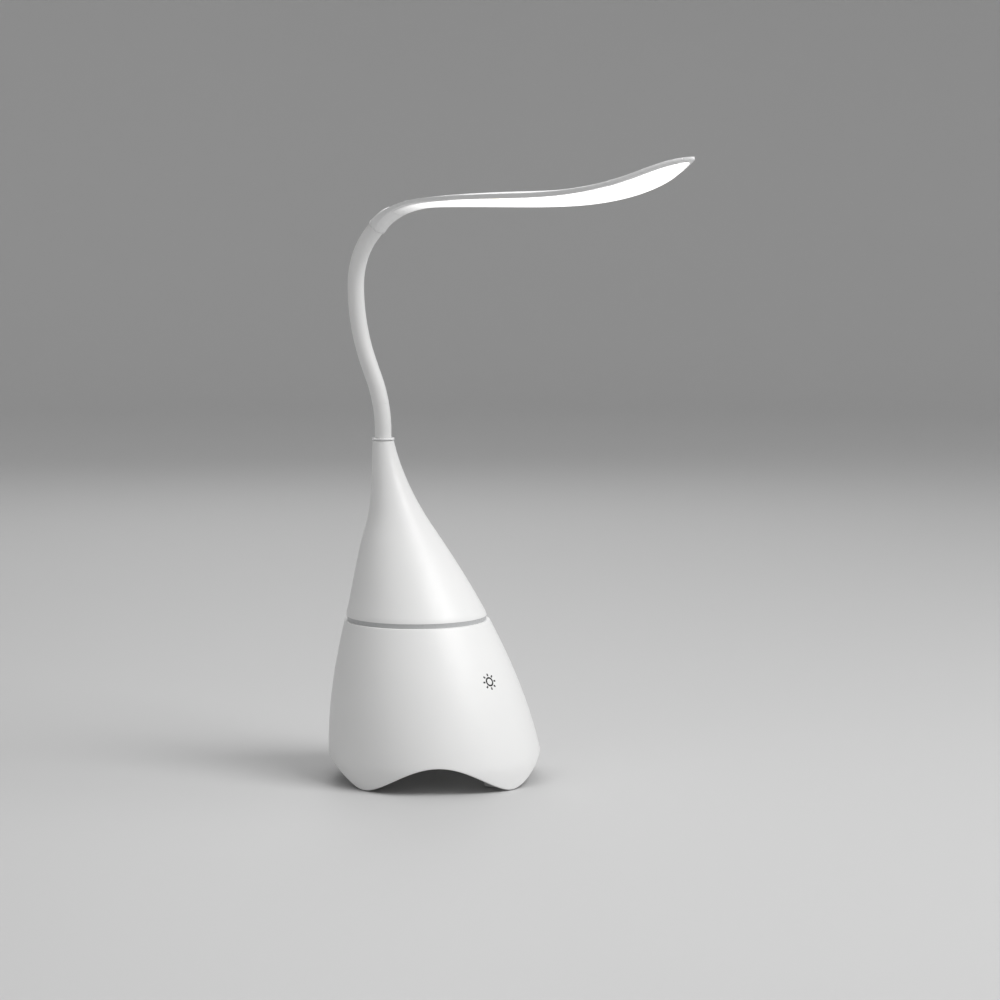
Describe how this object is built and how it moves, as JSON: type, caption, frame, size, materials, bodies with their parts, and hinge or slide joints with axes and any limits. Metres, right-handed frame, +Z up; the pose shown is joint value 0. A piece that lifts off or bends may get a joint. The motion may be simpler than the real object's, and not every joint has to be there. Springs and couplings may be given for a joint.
{
  "type": "flexible-neck desk lamp",
  "caption": "Battery desk lamp: two-shell teardrop base on four lobes, bendable neck and leaf-shaped light head with opal diffuser.",
  "frame": {"origin": "on the desk plane, at the centre of the circle through the four feet", "axes": "+Z up, +X the way the light head points, +Y to the lamp's left"},
  "size_m": [0.2556, 0.1216, 0.3483],
  "materials": {
    "shell_white": "fine satin texture, moulded white ABS",
    "head_white": "satin moulded white ABS",
    "sleeve_white": "smooth white silicone",
    "opal": "opal diffusing acrylic, lit from behind",
    "ring_grey": "grey moulded ring",
    "frame_grey": "dark moulded ABS",
    "plate_white": "moulded ABS",
    "pad_rubber": "soft grey rubber",
    "ballast_iron": "zinc-plated steel disc",
    "cell_wrap": "shrink wrap on a steel can",
    "board_green": "lacquered circuit board",
    "chip_black": "moulded packages",
    "steel": "bright steel",
    "screw_steel": "zinc-plated steel",
    "copper": "copper foil",
    "tray_aluminium": "bare aluminium strip",
    "led_lens": "light-emitting diode packages",
    "collar_white": "polished moulded ring"
  },
  "bodies": {
    "base": {"lower_shell": "shell_white", "upper_shell": "shell_white", "mid_frame": "frame_grey", "groove_ring": "ring_grey", "base_plate": "plate_white", "foot_pads": "pad_rubber", "ballast_plate": "ballast_iron", "battery": "cell_wrap", "battery_cradle": "frame_grey", "main_board": "board_green", "board_parts": "chip_black", "charge_board": "board_green", "charge_socket": "steel", "touch_pad": "copper", "plate_screws": "screw_steel", "ballast_screws": "screw_steel", "deck_screws": "screw_steel", "upper_screws": "screw_steel", "board_screws": "screw_steel", "collar": "collar_white", "neck_stud": "steel", "neck_clamp": "steel", "clamp_screw": "screw_steel", "neck_sleeve": "sleeve_white"},
    "neck_1": {"neck_link_1": "steel"},
    "neck_2": {"neck_link_2": "steel"},
    "neck_3": {"neck_link_3": "steel"},
    "neck_4": {"neck_link_4": "steel"},
    "neck_5": {"neck_link_5": "steel"},
    "neck_6": {"neck_link_6": "steel"},
    "head": {"head_ferrule": "steel", "head_shell": "head_white", "head_diffuser": "opal", "led_tray": "tray_aluminium", "leds": "led_lens", "tray_screws": "screw_steel"}
  },
  "joints": [
    {"name": "neck_nod_1", "type": "hinge", "parent": "base", "child": "neck_1", "pos_m": [-0.0412, 0, 0.2002], "axis": [0, 1, 0], "range_deg": [-15, 15], "deforming": ["neck_sleeve"]},
    {"name": "neck_sway_1", "type": "hinge", "parent": "neck_1", "child": "neck_2", "pos_m": [-0.04543, 0, 0.21878], "axis": [0.9, 0, 0.4359], "range_deg": [-15, 15], "deforming": ["neck_sleeve"]},
    {"name": "neck_nod_2", "type": "hinge", "parent": "neck_2", "child": "neck_3", "pos_m": [-0.05377, 0, 0.23599], "axis": [0, 1, 0], "range_deg": [-15, 15], "deforming": ["neck_sleeve"]},
    {"name": "neck_sway_2", "type": "hinge", "parent": "neck_3", "child": "neck_4", "pos_m": [-0.06024, 0, 0.25396], "axis": [0.9887, 0, 0.1498], "range_deg": [-15, 15], "deforming": ["neck_sleeve"]},
    {"name": "neck_nod_3", "type": "hinge", "parent": "neck_4", "child": "neck_5", "pos_m": [-0.0631, 0, 0.27284], "axis": [0, 1, 0], "range_deg": [-15, 15], "deforming": ["neck_sleeve"]},
    {"name": "neck_sway_3", "type": "hinge", "parent": "neck_5", "child": "neck_6", "pos_m": [-0.06079, 0, 0.29168], "axis": [0.8278, 0, -0.561], "range_deg": [-15, 15], "deforming": ["neck_sleeve"]},
    {"name": "neck_nod_4", "type": "hinge", "parent": "neck_6", "child": "head", "pos_m": [-0.05016, 0, 0.30736], "axis": [0, 1, 0], "range_deg": [-15, 15], "deforming": ["neck_sleeve"]}
  ]
}
